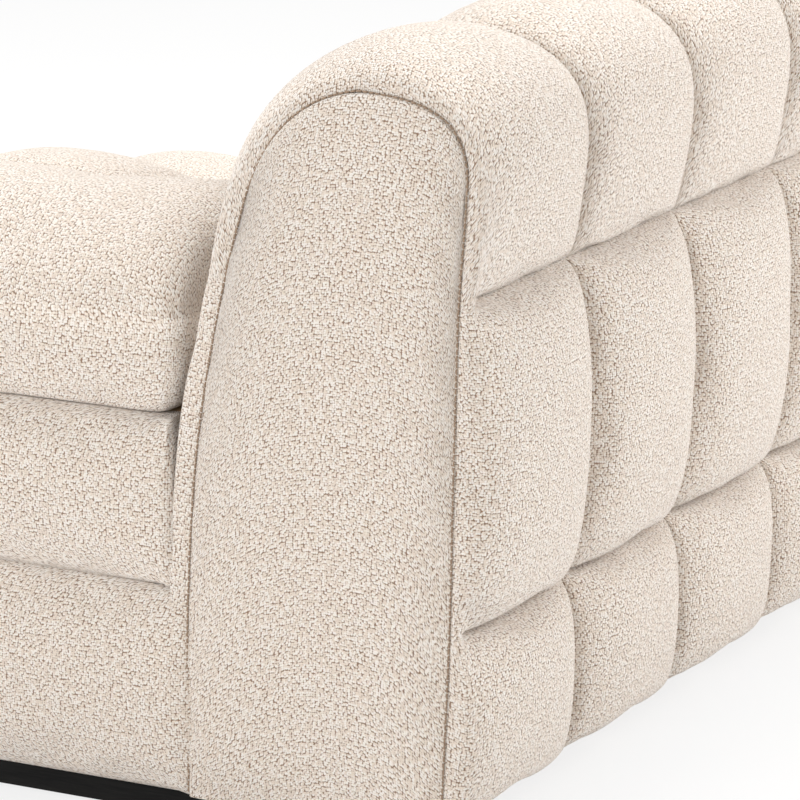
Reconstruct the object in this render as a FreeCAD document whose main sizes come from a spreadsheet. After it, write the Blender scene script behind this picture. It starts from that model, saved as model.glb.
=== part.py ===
import FreeCAD, Part
import math
import os
import re

os.makedirs("parts", exist_ok=True)
doc = FreeCAD.newDocument("ModularSofa")

# Driving sizes in millimetres, and counts
SIZES = {
    "tuft_pitch": "228",
    "back_columns": "5",
    "arm_columns": "2",
    "seat_rows": "3",
    "plinth_height": "35",
    "plinth_board": "18",
    "plinth_inset": "40",
    "plinth_left_inset": "92",
    "plinth_rear_inset": "140",
    "glide_height": "4",
    "glide_radius": "8",
    "base_height": "192",
    "rail_thickness": "25",
    "bearer_width": "55",
    "bearer_height": "25",
    "block_size": "40",
    "block_height": "110",
    "dust_sheet": "1",
    "side_pad": "35",
    "seam_draw": "14",
    "deck_pad_height": "16",
    "spring_count": "4",
    "spring_turns": "15",
    "spring_wire": "3.8",
    "spring_half_width": "24",
    "clip_height": "2.2",
    "board": "18",
    "arm_mid_height": "156",
    "arm_boxing": "88",
    "arm_crown": "84",
    "arm_inner_drop": "15",
    "arm_tuft_depth": "32",
    "arm_first_tuft": "166",
    "arm_core_height": "60",
    "edge_roll": "16",
    "foot_depth": "252",
    "rear_lean": "27",
    "rear_bulge": "48",
    "low_bulge": "40",
    "front_bulge": "24",
    "roll_rise": "38",
    "roll_rear_rise": "26",
    "front_arc": "13.4",
    "shoulder_arc": "26.5",
    "corner_arc": "16",
    "flat_arc": "1.5",
    "apex_fall": "4",
    "low_row_height": "186",
    "middle_row_height": "292",
    "rear_hem": "17",
    "panel_height": "657",
    "end_panel": "25",
    "panel_edge": "14",
    "front_break": "149",
    "shoulder_height": "530",
    "shoulder_lean": "55",
    "apex_setback": "167",
    "rear_corner": "57",
    "rear_shoulder_drop": "65",
    "front_row_lift": "5",
    "pad_base": "20",
    "back_rail_height": "70",
    "strap_width": "60",
    "strap_thickness": "3",
    "bolt_radius": "4",
    "bolt_head_radius": "9",
    "bolt_head_height": "5",
    "bolt_setback": "150",
    "seat_thickness": "158",
    "seat_edge": "105",
    "seat_gap": "2",
    "seat_rear_gap": "12",
    "seat_core_height": "62",
    "core_wall": "28",
    "clearance": "0.3",
    "link_length": "85",
    "link_width": "30",
    "link_plate": "3",
    "link_hole_radius": "4.25",
    "link_bolt_radius": "4",
    "link_bolt_play": "0.15",
    "link_bolt_grip": "30",
    "link_head_radius": "8",
    "link_head_height": "5",
    "link_setback": "120",
}

# Places worked out from the driving sizes, in order
PLACES = {
    "half_width": "tuft_pitch * back_columns / 2",
    "arm_inner_x": "half_width - tuft_pitch * arm_columns",
    "arm_length": "tuft_pitch * seat_rows",
    "base_top": "plinth_height + base_height",
    "arm_seam_z": "base_top + arm_mid_height",
    "seam_low_z": "plinth_height + low_row_height",
    "seam_high_z": "seam_low_z + middle_row_height",
    "panel_top_z": "plinth_height + panel_height",
    "rear_shoulder_z": "panel_top_z - rear_shoulder_drop",
    "lean_rate": "rear_lean / (rear_shoulder_z - plinth_height)",
    "crest_lean": "lean_rate * ((seam_low_z + seam_high_z) / 2 - plinth_height)",
    "half_depth": "(arm_length + edge_roll + foot_depth + crest_lean + rear_bulge) / 2",
    "front_y": "-half_depth",
    "arm_rear_y": "front_y + arm_length",
    "back_y": "arm_rear_y + edge_roll",
    "rail_x": "half_width - side_pad",
    "rail_front_y": "front_y + side_pad",
    "rail_top_z": "base_top - deck_pad_height - spring_wire - clip_height",
    "wrap_x": "half_width - end_panel",
    "former_x": "wrap_x - board",
    "front_row_z": "base_top + front_row_lift",
    "arm_board_x": "arm_inner_x + side_pad",
    "arm_board_z": "arm_seam_z - board",
    "plinth_right_x": "half_width - plinth_inset",
    "plinth_left_x": "-half_width + plinth_left_inset",
    "plinth_front_y": "front_y + plinth_inset",
    "plinth_rear_y": "half_depth - plinth_rear_inset",
    "back_rear_rail_y": "back_y + foot_depth - pad_base - rail_thickness",
    "back_front_rail_y": "back_y + shoulder_lean + pad_base",
    "seat_left_x": "-half_width + seat_gap",
    "seat_right_x": "arm_inner_x - seat_gap",
    "seat_rear_y": "arm_rear_y - seat_rear_gap",
    "seat_z": "base_top + clearance",
    "link_x": "-rail_x + rail_thickness / 2",
    "link_top_z": "plinth_height - clearance",
    "link_bottom_z": "link_top_z - link_plate",
    "link_head_top_z": "link_bottom_z - clearance",
    "link_front_y": "rail_front_y + link_setback",
    "link_rear_y": "arm_rear_y - link_setback",
}

sheet = doc.addObject("Spreadsheet::Sheet", "Sizes")
for row, (alias, text) in enumerate(SIZES.items(), 1):
    sheet.set(f"A{row}", alias.replace("_", " "))
    sheet.set(f"B{row}", text)
    sheet.setAlias(f"B{row}", alias)
doc.recompute()

layout = doc.addObject("App::VarSet", "Layout")


def bind(text):
    """The expression with each word tied to its sheet cell or worked-out place."""
    def tie(match):
        word = match.group(0)
        return f"Sizes.{word}" if word in SIZES else f"Layout.{word}"
    return re.sub(r"[a-z]\w*", tie, text)


for name, text in PLACES.items():
    layout.addProperty("App::PropertyFloat", name)
    layout.setExpression(name, bind(text))
doc.recompute()


def at(name):
    """A size or place as a number."""
    return float(sheet.get(name)) if name in SIZES else getattr(layout, name)


NODES = []


def node(item):
    """Marks a document object as a piece with its own file."""
    item.Label = item.Name
    NODES.append(item)
    return item


def box(name, x, y, z):
    """A board between two expressions on each axis."""
    board = doc.addObject("Part::Box", name)
    for side, axis, (low, high) in (("Length", "x", x), ("Width", "y", y), ("Height", "z", z)):
        board.setExpression(side, bind(f"({high}) - ({low})"))
        board.setExpression(f"Placement.Base.{axis}", bind(low))
    return board


def peg(name, radius, x, y, z):
    """An upright round peg between two heights."""
    round_bar = doc.addObject("Part::Cylinder", name)
    round_bar.setExpression("Radius", bind(radius))
    round_bar.setExpression("Height", bind(f"({z[1]}) - ({z[0]})"))
    for axis, text in (("x", x), ("y", y), ("z", z[0])):
        round_bar.setExpression(f"Placement.Base.{axis}", bind(text))
    return round_bar


def dowel(name, radius, x, y, z):
    """A round bar lying front to back between two depths."""
    round_bar = doc.addObject("Part::Cylinder", name)
    round_bar.Placement = FreeCAD.Placement(FreeCAD.Vector(), FreeCAD.Rotation(FreeCAD.Vector(1, 0, 0), -90))
    round_bar.setExpression("Radius", bind(radius))
    round_bar.setExpression("Height", bind(f"({y[1]}) - ({y[0]})"))
    for axis, text in (("x", x), ("y", y[0]), ("z", z)):
        round_bar.setExpression(f"Placement.Base.{axis}", bind(text))
    return round_bar


def group(name, items):
    """Several separate solids as one piece list."""
    compound = doc.addObject("Part::Compound", name)
    compound.Links = items
    return compound


def cut(name, base, tool):
    result = doc.addObject("Part::Cut", name)
    result.Base = base
    result.Tool = tool
    return result


def fuse(name, items):
    result = doc.addObject("Part::MultiFuse", name)
    result.Shapes = items
    return result


def formed(name, shape):
    """A piece whose form is lofted or swept below."""
    item = doc.addObject("Part::Feature", name)
    item.Shape = shape
    return item


# Plinth, floor glides and dust cover
plinth_z = ("glide_height", "plinth_height")
plinth_inner_left = "plinth_left_x + plinth_board"
plinth_inner_right = "plinth_right_x - plinth_board"
plinth_inner_front = "plinth_front_y + plinth_board"
plinth_inner_rear = "plinth_rear_y - plinth_board"
plinth_across = ("plinth_left_x", "plinth_right_x")
node(box("plinth_front", plinth_across, ("plinth_front_y", plinth_inner_front), plinth_z))
node(box("plinth_rear", plinth_across, (plinth_inner_rear, "plinth_rear_y"), plinth_z))
plinth_run = (plinth_inner_front, plinth_inner_rear)
node(box("plinth_left", ("plinth_left_x", plinth_inner_left), plinth_run, plinth_z))
node(box("plinth_right", (plinth_inner_right, "plinth_right_x"), plinth_run, plinth_z))

glides = []
glide_z = ("0", "glide_height")
GLIDE_XS = ("plinth_left_x + plinth_board", "(plinth_left_x + plinth_right_x) / 2",
            "plinth_right_x - plinth_board")
GLIDE_YS = ("plinth_front_y + plinth_board / 2", "plinth_rear_y - plinth_board / 2")
for glide_y in GLIDE_YS:
    for glide_x in GLIDE_XS:
        glides.append(peg(f"glide_{len(glides) + 1}", "glide_radius", glide_x, glide_y, glide_z))
node(group("floor_glides", glides))
node(box("dust_cover", (plinth_inner_left, plinth_inner_right), plinth_run,
         ("plinth_height - dust_sheet", "plinth_height")))

# Base frame: rails, bearer and corner blocks
rail_z = ("plinth_height", "rail_top_z")
rail_inner_front = "rail_front_y + rail_thickness"
rail_inner_rear = "arm_rear_y - rail_thickness"
rail_run = (rail_inner_front, rail_inner_rear)
node(box("base_rail_front", ("-rail_x", "rail_x"), ("rail_front_y", rail_inner_front), rail_z))
rail_rear = box("rail_rear_blank", ("-rail_x", "rail_x"), (rail_inner_rear, "arm_rear_y"), rail_z)
node(box("base_rail_right", ("rail_x - rail_thickness", "rail_x"), rail_run, rail_z))
node(box("base_rail_arm", ("arm_board_x", "arm_board_x + rail_thickness"), rail_run, rail_z))
rail_left = box("rail_left_blank", ("-rail_x", "-rail_x + rail_thickness"), rail_run, rail_z)
bearer_inner = "-rail_x + rail_thickness + bearer_width"
bearer_top = "plinth_height + bearer_height"
bearer_across = ("-rail_x + rail_thickness", bearer_inner)
node(box("base_bearer_left", bearer_across, rail_run, ("plinth_height", bearer_top)))

blocks = []
BLOCK_XS = (("-rail_x + rail_thickness", "-rail_x + rail_thickness + block_size"),
            ("arm_board_x - block_size", "arm_board_x"),
            ("rail_x - rail_thickness - block_size", "rail_x - rail_thickness"))
BLOCK_YS = ((rail_inner_front, rail_inner_front + " + block_size"),
            (rail_inner_rear + " - block_size", rail_inner_rear))
block_z = (bearer_top, bearer_top + " + block_height")
for block_x in BLOCK_XS:
    for block_y in BLOCK_YS:
        blocks.append(box(f"block_{len(blocks) + 1}", block_x, block_y, block_z))
node(group("base_corner_blocks", blocks))

# Swing-out link plates and their pivot bolts at the joining end
bolts = []
link_across = ("link_x - link_width / 2", "link_x + link_width / 2")
pivot_radius = "link_bolt_radius + link_bolt_play"
for place, turn in (("front", 1), ("rear", -1)):
    pivot_y = f"link_{place}_y"
    end_y = f"{pivot_y} + {turn} * link_length"
    plate_z = ("link_bottom_z", "link_top_z")
    low_y, high_y = (pivot_y, end_y) if turn > 0 else (end_y, pivot_y)
    bar = box(f"link_bar_{place}", link_across, (low_y, high_y), plate_z)
    ends = [peg(f"link_{end}_{place}", "link_width / 2", "link_x", end_at, plate_z)
            for end, end_at in (("root", pivot_y), ("tip", end_y))]
    blank = fuse(f"link_blank_{place}", [bar, *ends])
    pivot_hole = peg(f"link_pivot_hole_{place}", pivot_radius, "link_x", pivot_y, plate_z)
    tip_hole = peg(f"link_tip_hole_{place}", "link_hole_radius", "link_x", end_y, plate_z)
    node(cut(f"link_plate_{place}", blank, fuse(f"link_holes_{place}", [pivot_hole, tip_hole])))
    shank = peg(f"link_shank_{place}", "link_bolt_radius", "link_x", pivot_y,
                ("link_head_top_z", "plinth_height + link_bolt_grip"))
    head = peg(f"link_head_{place}", "link_head_radius", "link_x", pivot_y,
               ("link_head_top_z - link_head_height", "link_head_top_z"))
    bolts.append(fuse(f"link_bolt_{place}", [shank, head]))
node(group("link_bolts", bolts))
node(cut("base_rail_left", rail_left, group("link_bolt_holes", bolts)))


# Seat springs: each one wire that zigzags from the front rail to the rear rail
def spring_path(x, y_low, y_high, z):
    """Half turns joined by straight runs, with a straight tail at each end."""
    turns = int(at("spring_turns"))
    step = (y_high - y_low) / (turns + 1)
    radius = step / 2
    reach = at("spring_half_width") - radius
    side = 1
    spot = FreeCAD.Vector(x, y_low + step / 2, z)
    edges = [Part.LineSegment(FreeCAD.Vector(x, y_low, z), spot).toShape()]
    for turn in range(turns):
        out = FreeCAD.Vector(x + side * reach, spot.y, z)
        edges.append(Part.LineSegment(spot, out).toShape())
        back = FreeCAD.Vector(out.x, out.y + step, z)
        middle = FreeCAD.Vector(out.x + side * radius, out.y + radius, z)
        edges.append(Part.Arc(out, middle, back).toShape())
        spot = FreeCAD.Vector(x, back.y, z)
        edges.append(Part.LineSegment(back, spot).toShape())
        side = -side
    edges.append(Part.LineSegment(spot, FreeCAD.Vector(x, y_high, z)).toShape())
    return edges


def zigzag(x, y_low, y_high, z):
    """One unbroken wire; its square corners at the ends are mitred."""
    radius = at("spring_wire") / 2
    path = Part.Wire(Part.__sortEdges__(spring_path(x, y_low, y_high, z)))
    start = FreeCAD.Vector(x, y_low, z)
    profile = Part.Wire([Part.Circle(start, FreeCAD.Vector(0, 1, 0), radius).toShape()])
    shell = Part.BRepOffsetAPI.MakePipeShell(path)
    shell.setTransitionMode(1)
    shell.add(profile)
    shell.build()
    shell.makeSolid()
    return shell.shape()


spring_z = at("base_top") - at("deck_pad_height") - at("spring_wire") / 2
spring_low = at("rail_front_y") + at("rail_thickness") / 2
spring_high = at("arm_rear_y") - at("rail_thickness") / 2
spring_count = int(at("spring_count"))
spring_first = -at("rail_x") + at("rail_thickness") + at("block_size")
spring_span = at("arm_board_x") - spring_first
spring_xs = [spring_first + spring_span * (i + 0.5) / spring_count for i in range(spring_count)]
springs = [zigzag(x, spring_low, spring_high, spring_z) for x in spring_xs]
node(formed("seat_springs", Part.makeCompound(springs)))

clips = []
for x in spring_xs:
    for y in (at("rail_front_y"), at("arm_rear_y") - at("rail_thickness")):
        corner = FreeCAD.Vector(x - at("spring_half_width") / 2, y, at("rail_top_z"))
        clips.append(Part.makeBox(at("spring_half_width"), at("rail_thickness"), at("clip_height"), corner))
node(formed("spring_clips", Part.makeCompound(clips)))
node(box("deck_pad", ("-rail_x", "arm_inner_x"), ("rail_front_y", "arm_rear_y"),
         ("base_top - deck_pad_height", "base_top")))

# Arm box: four boards and a top board
arm_board_run = ("rail_front_y + board", "arm_rear_y - board")
arm_board_up = ("rail_top_z", "arm_board_z")
arm_board_across = ("arm_board_x", "rail_x")
node(box("arm_board_outer", ("rail_x - board", "rail_x"), arm_board_run, arm_board_up))
node(box("arm_board_inner", ("arm_board_x", "arm_board_x + board"), arm_board_run, arm_board_up))
node(box("arm_board_front", arm_board_across, ("rail_front_y", "rail_front_y + board"), arm_board_up))
node(box("arm_board_rear", arm_board_across, ("arm_rear_y - board", "arm_rear_y"), arm_board_up))
node(box("arm_top_board", arm_board_across, ("rail_front_y", "arm_rear_y"), ("arm_board_z", "arm_seam_z")))


# Lofted soft forms
def across_x(x):
    """Places a section outline (y, z) at one x."""
    return lambda spot: FreeCAD.Vector(x, spot[0], spot[1])


def across_y(y, lean=0.0, foot=0.0):
    """Places a section outline (x, z) at one y, leaning back above its foot."""
    return lambda spot: FreeCAD.Vector(spot[0], y + lean * (spot[1] - foot), spot[1])


def outline(place, path):
    """A closed wire: each step is a corner and, where its edge is an arc, the arc's middle point."""
    edges = []
    for index, (corner, middle) in enumerate(path):
        following = path[(index + 1) % len(path)][0]
        start, end = place(corner), place(following)
        if middle is None:
            edges.append(Part.LineSegment(start, end).toShape())
        else:
            edges.append(Part.Arc(start, place(middle), end).toShape())
    return Part.Wire(edges)


def loft(wires, ruled=False):
    return Part.makeLoft(wires, True, ruled)


def joined(solids):
    """Chambers that share their sewn channels, as one body of padding."""
    whole = solids[0].multiFuse(solids[1:]) if len(solids) > 1 else solids[0]
    return whole.Solids[0] if len(whole.Solids) == 1 else whole


def band(name, along, run, face, outward, heights, end_share=0.35):
    """A padded band: flat behind, swelling between its seams, tighter at its ends."""
    low_z, high_z = heights
    draw = at("seam_draw")
    inner = face - outward * at("side_pad")
    seam = face - outward * draw
    wires = []
    for spot, share in ((run[0], end_share), (sum(run) / 2, 1.0), (run[1], end_share)):
        crest = (seam + outward * draw * share, (low_z + high_z) / 2)
        path = [((inner, low_z), None), ((seam, low_z), crest),
                ((seam, high_z), None), ((inner, high_z), None)]
        place = across_x(spot) if along == "x" else across_y(spot)
        wires.append(outline(place, path))
    return node(formed(name, loft(wires)))


low_tier = (at("plinth_height"), at("base_top"))
middle_tier = (at("base_top"), at("arm_seam_z"))
side_run = (at("rail_front_y"), at("arm_rear_y"))
half_width = at("half_width")
arm_inner_x = at("arm_inner_x")
front_y = at("front_y")
band("base_pad_front", "x", (-half_width, half_width), front_y, -1, low_tier)
low_run = (at("rail_front_y"), at("back_y"))
band("base_pad_right", "y", low_run, half_width, 1, low_tier)
band("base_pad_left", "y", low_run, -half_width, -1, low_tier)
band("arm_outer_pad", "y", side_run, half_width, 1, middle_tier)
band("arm_inner_pad", "y", side_run, arm_inner_x, -1, middle_tier)
band("arm_front_pad", "x", (arm_inner_x, half_width), front_y, -1, middle_tier)


# Arm cushion: smooth outer half, inner half sewn down at each tuft
def arm_section(place, tuft_share, end_share):
    """Arm cushion outline from the inner foot round over the top to the outer foot."""
    draw = at("seam_draw")
    foot = at("arm_seam_z")
    seam_z = foot + at("arm_boxing")
    crest_z = seam_z + at("arm_crown") * end_share
    tuft_x = half_width - at("tuft_pitch")
    groove_z = crest_z - at("arm_tuft_depth")
    inner_crest = crest_z - at("arm_inner_drop") - at("arm_tuft_depth") * tuft_share
    outer, inner = half_width - draw, arm_inner_x + draw
    boxing_z = (foot + seam_z) / 2
    outer_middle = (tuft_x + outer) / 2 + draw
    inner_middle = (tuft_x + inner) / 2 - draw
    return outline(place, [
        ((inner, foot), None),
        ((outer, foot), (half_width, boxing_z)),
        ((outer, seam_z), (outer_middle, crest_z)),
        ((tuft_x, groove_z), (inner_middle, inner_crest)),
        ((inner, seam_z), (arm_inner_x + draw / 2, boxing_z)),
    ])


END_FULLNESS = 0.8
END_TUFT = 0.3
REAR_LEAN = 0.15
arm_tufts = [at("arm_rear_y") - at("arm_first_tuft")]
arm_tufts.append(arm_tufts[0] - at("tuft_pitch"))
arm_rear_place = across_y(at("arm_rear_y"), REAR_LEAN, at("arm_seam_z"))
chambers = []
for low_y, high_y in zip([front_y, *reversed(arm_tufts)], [*reversed(arm_tufts), None]):
    end_y = at("arm_rear_y") if high_y is None else high_y
    first = (across_y(low_y), END_TUFT, END_FULLNESS) if low_y == front_y else (across_y(low_y), 1.0, 1.0)
    last = (arm_rear_place, END_TUFT, 1.0) if high_y is None else (across_y(high_y), 1.0, 1.0)
    middle = (across_y((low_y + end_y) / 2), 0.0, 1.0)
    chambers.append(loft([arm_section(*station) for station in (first, middle, last)]))
core_wall = at("core_wall")
clearance = at("clearance")


def core_box(low, high, shrink):
    """A foam block between two corners, smaller all round by the shrink."""
    low = FreeCAD.Vector(*low) + FreeCAD.Vector(shrink, shrink, shrink)
    size = FreeCAD.Vector(*high) - FreeCAD.Vector(shrink, shrink, shrink) - low
    return Part.makeBox(size.x, size.y, size.z, low)


arm_core_low = (arm_inner_x + core_wall, front_y + core_wall, at("arm_seam_z") + core_wall / 2)
arm_core_high = (half_width - core_wall, at("arm_rear_y") - core_wall,
                 arm_core_low[2] + at("arm_core_height"))
node(formed("arm_cushion", joined(chambers).cut(core_box(arm_core_low, arm_core_high, 0))))
node(formed("arm_foam_core", core_box(arm_core_low, arm_core_high, clearance)))


# Back outline: corners that move out or in along their normals
def back_corners(shift, foot_z):
    """Outline corners of the back in the y, z plane, moved outward by the shift."""
    y = at("back_y")
    top = at("panel_top_z")
    rear = y + at("foot_depth")
    shoulder = rear + at("rear_lean")
    base = at("plinth_height")
    spots = {
        "front_foot": ((y, foot_z), (-1, 0)),
        "front_break": ((y, base + at("front_break")), (-1, 0)),
        "front_shoulder": ((y + at("shoulder_lean"), base + at("shoulder_height")), (-0.94, 0.34)),
        "apex": ((y + at("apex_setback"), top), (-0.05, 1)),
        "rear_apex": ((shoulder - at("rear_corner"), top - at("apex_fall")), (0.2, 0.98)),
        "rear_shoulder": ((shoulder, at("rear_shoulder_z")), (1, 0)),
        "rear_foot": ((rear + at("lean_rate") * (foot_z - base), foot_z), (1, 0)),
    }
    return {key: (a + shift * na, b + shift * nb) for key, ((a, b), (na, nb)) in spots.items()}


def between(first, second, rise, share=0.5):
    """A point part of the way from one corner to the next, standing out to the right of the way."""
    along = (second[0] - first[0], second[1] - first[1])
    length = math.hypot(*along)
    return (first[0] + along[0] * share + along[1] / length * rise,
            first[1] + along[1] * share - along[0] / length * rise)


def on_rear(z, shift):
    """A point of the leaning rear line."""
    corners = back_corners(shift, at("plinth_height"))
    foot, shoulder = corners["rear_foot"], corners["rear_shoulder"]
    return (foot[0] + (shoulder[0] - foot[0]) * (z - foot[1]) / (shoulder[1] - foot[1]), z)


def front_seam(shift):
    """The point of the front face, moved outward, at the height of the upper rear seam."""
    corners = back_corners(shift, at("plinth_height"))
    low, high = corners["front_break"], corners["front_shoulder"]
    share = (at("seam_high_z") - low[1]) / (high[1] - low[1])
    return between(high, low, at("front_arc") * 4 * share * (1 - share), 1 - share)


def rear_row(low_z, high_z, bulge):
    """Section maker of a rear row: flat inside, swelling out between its two seams."""
    def make(place, share):
        first, last = on_rear(low_z, 0), on_rear(high_z, 0)
        return outline(place, [
            (on_rear(low_z, -at("pad_base")), None),
            (first, between(first, last, bulge * share)),
            (last, None),
            (on_rear(high_z, -at("pad_base")), None),
        ])
    return make


def roll_section(place, share):
    """Section of the top roll: from the upper rear seam over the top to the front seam."""
    inside, outside = back_corners(-at("pad_base"), 0), back_corners(at("roll_rise") * share, 0)
    rear_crest = back_corners(at("roll_rear_rise") * share, 0)["rear_shoulder"]
    path = []
    rim = [on_rear(at("seam_high_z"), 0), rear_crest, outside["rear_apex"], outside["apex"],
           outside["front_shoulder"], front_seam(0)]
    flat = at("flat_arc")
    arcs = [flat * (1 + 4 * share), at("corner_arc"), flat, at("shoulder_arc"), flat * (1 + 3 * share)]
    for first, second, rise in zip(rim, rim[1:], arcs):
        path.append((first, between(first, second, rise)))
    path.append((rim[-1], None))
    lining = [front_seam(-at("pad_base")), inside["front_shoulder"], inside["apex"], inside["rear_apex"],
              inside["rear_shoulder"], on_rear(at("seam_high_z"), -at("pad_base"))]
    path.extend((corner, None) for corner in lining)
    return outline(place, path)


def front_row(place, share):
    """Section of the front row, between the seat deck and the front seam."""
    top, top_in = front_seam(0), front_seam(-at("pad_base"))
    foot = (at("back_y"), at("front_row_z"))
    foot_in = (foot[0] + at("pad_base"), foot[1])
    swell = between(top, foot, at("front_arc") / 2 + at("front_bulge") * share)
    return outline(place, [(top, swell), (foot, None), (foot_in, None), (top_in, None)])


CHANNEL_SHARE = 0.06
END_SHARE = 0.36
ARM_COLUMN_SHARE = 0.35


def tufted_row(name, make, arm_share=1.0):
    """A row of chambers, one to a column, drawn in at each sewn channel."""
    columns = int(at("back_columns"))
    wrap = at("wrap_x")
    pitch = at("tuft_pitch")
    channels = [-wrap, *[(i - columns / 2) * pitch for i in range(1, columns)], wrap]
    shares = [END_SHARE, *[CHANNEL_SHARE] * (columns - 1), END_SHARE]
    solids = []
    for i in range(columns):
        crest = arm_share if i >= columns - int(at("arm_columns")) else 1.0
        ends = ((channels[i], shares[i]), ((channels[i] + channels[i + 1]) / 2, crest),
                (channels[i + 1], shares[i + 1]))
        solids.append(loft([make(across_x(x), share) for x, share in ends]))
    return node(formed(name, joined(solids)))


hem_z = at("plinth_height") + at("rear_hem")
tufted_row("back_rear_low_row", rear_row(hem_z, at("seam_low_z"), at("low_bulge")))
tufted_row("back_rear_middle_row", rear_row(at("seam_low_z"), at("seam_high_z"), at("rear_bulge")))
tufted_row("back_top_roll", roll_section)
tufted_row("back_front_row", front_row, ARM_COLUMN_SHARE)


def back_outline(place, shift, foot_z, rounded=True):
    """The whole arched outline of the back, or the same outline with straight sides."""
    spots = list(back_corners(shift, foot_z).values())
    arcs = [at(f"{part}_arc") if rounded else None for part in ("front", "shoulder", "flat", "corner")]
    rises = [None, *arcs, None, None]
    path = []
    for index, (spot, rise) in enumerate(zip(spots, rises)):
        following = spots[(index + 1) % len(spots)]
        path.append((spot, None if rise is None else between(following, spot, rise)))
    return outline(place, path)


def end_panel(name, side):
    """A flat padded end panel whose edge rolls in to its seam."""
    inner, outer = side * at("wrap_x"), side * half_width
    edge = at("panel_edge") / 2
    foot_z = at("plinth_height")
    stations = ((inner, 0, foot_z), (outer - side * edge, 0, foot_z), (outer, -edge, foot_z + edge))
    wires = [back_outline(across_x(x), shift, foot) for x, shift, foot in stations]
    return node(formed(name, loft(wires, ruled=True)))


end_panel("back_end_panel_right", 1)
end_panel("back_end_panel_left", -1)


# Back frame: formers, bottom board, rails, webbing and the bolts that hold it to the base
def former(name, low_x, high_x):
    """A board sawn to straight sides, just inside the padding."""
    inside = -at("pad_base") - clearance
    face = Part.Face(back_outline(across_x(low_x), inside, at("plinth_height"), rounded=False))
    return formed(name, face.extrude(FreeCAD.Vector(high_x - low_x, 0, 0)))


rail_run_x = ("-former_x", "former_x")
low_rail_z = ("plinth_height + board", "seam_low_z")
bottom_run = ("arm_rear_y + rail_thickness", "back_rear_rail_y + rail_thickness")
node(box("back_bottom_board", rail_run_x, bottom_run, ("plinth_height", "plinth_height + board")))
front_low = box("rail_front_low_blank", rail_run_x, ("arm_rear_y", "arm_rear_y + rail_thickness"),
                ("plinth_height", "rail_top_z"))
back_bolts = []
bolt_z = "(plinth_height + rail_top_z) / 2"
BOLT_XS = ("-former_x + bolt_setback", "-bolt_setback / 2", "arm_board_x + rail_thickness + bolt_setback")
for bolt_x in BOLT_XS:
    mark = len(back_bolts) + 1
    shank = dowel(f"back_bolt_shank_{mark}", "bolt_radius", bolt_x,
                  ("arm_rear_y - rail_thickness", "arm_rear_y + rail_thickness"), bolt_z)
    head = dowel(f"back_bolt_head_{mark}", "bolt_head_radius", bolt_x,
                 ("arm_rear_y - rail_thickness - bolt_head_height", "arm_rear_y - rail_thickness"), bolt_z)
    back_bolts.append(fuse(f"back_bolt_{mark}", [shank, head]))
node(group("back_bolts", back_bolts))
bolt_holes = group("back_bolt_holes", back_bolts)
node(cut("base_rail_rear", rail_rear, bolt_holes))
node(cut("back_rail_front_low", front_low, bolt_holes))
rear_rail_y = ("back_rear_rail_y", "back_rear_rail_y + rail_thickness")
rear_low = box("back_rail_rear_low", rail_run_x, rear_rail_y, low_rail_z)
high_rail_z = ("seam_high_z - back_rail_height", "seam_high_z")
rear_high = box("back_rail_rear_high", rail_run_x, rear_rail_y, high_rail_z)
front_rail_y = ("back_front_rail_y", "back_front_rail_y + rail_thickness")
front_high = box("back_rail_front_high", rail_run_x, front_rail_y, high_rail_z)
top_rail = box("back_rail_top", rail_run_x,
               ("back_y + apex_setback", "back_y + foot_depth + rear_lean - rear_corner"),
               ("panel_top_z - pad_base - rail_thickness - board", "panel_top_z - pad_base - board"))
back_rails = [rear_low, rear_high, front_high, top_rail]
for rail in back_rails:
    node(rail)
former_x, wrap_x = at("former_x"), at("wrap_x")
node(former("back_former_right", former_x, wrap_x))
node(former("back_former_left", -wrap_x, -former_x))
centre_blank = former("back_former_centre_blank", -at("board") / 2, at("board") / 2)
notches = group("back_former_notches", [front_low, *back_rails, doc.getObject("back_bottom_board")])
node(cut("back_former_centre", centre_blank, notches))

strap_low = (at("arm_rear_y") + at("rail_thickness"), at("rail_top_z") - at("back_rail_height") / 2)
strap_high = (at("back_front_rail_y"), at("seam_high_z") - at("back_rail_height") / 2)
straps = []
thick = at("strap_thickness")
for channel in range(1, int(at("back_columns"))):
    strap_x = -half_width + at("tuft_pitch") * channel - at("strap_width") / 2
    path = [(strap_low, None), ((strap_low[0] + thick, strap_low[1]), None),
            ((strap_high[0], strap_high[1]), None), ((strap_high[0] - thick, strap_high[1]), None)]
    face = Part.Face(outline(across_x(strap_x), path))
    straps.append(face.extrude(FreeCAD.Vector(at("strap_width"), 0, 0)))
node(formed("back_webbing", Part.makeCompound(straps)))


# Seat cushion: three by three chambers, sewn down between them, and its foam core
def seat_section(x, share, edge_share):
    """Seat cushion outline at one x: flat below, bowed front and rear, a swell over each row."""
    place = across_x(x)
    draw = at("seam_draw")
    rows = int(at("seat_rows"))
    low, high = front_y, at("seat_rear_y")
    foot, edge = at("seat_z"), at("seat_z") + at("seat_edge")
    crest = edge + (at("seat_thickness") - at("seat_edge")) * share
    step = (high - low) / rows
    top = [(high - draw, edge), *[(low + step * i, edge) for i in range(rows - 1, 0, -1)], (low + draw, edge)]
    rear_bow = (high - draw + draw * edge_share, (foot + edge) / 2)
    path = [((low + draw, foot), None), ((high - draw, foot), rear_bow)]
    for first, second in zip(top, top[1:]):
        path.append((first, ((first[0] + second[0]) / 2, crest)))
    path.append((top[-1], (low + draw - draw * edge_share, (foot + edge) / 2)))
    return outline(place, path)


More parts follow.
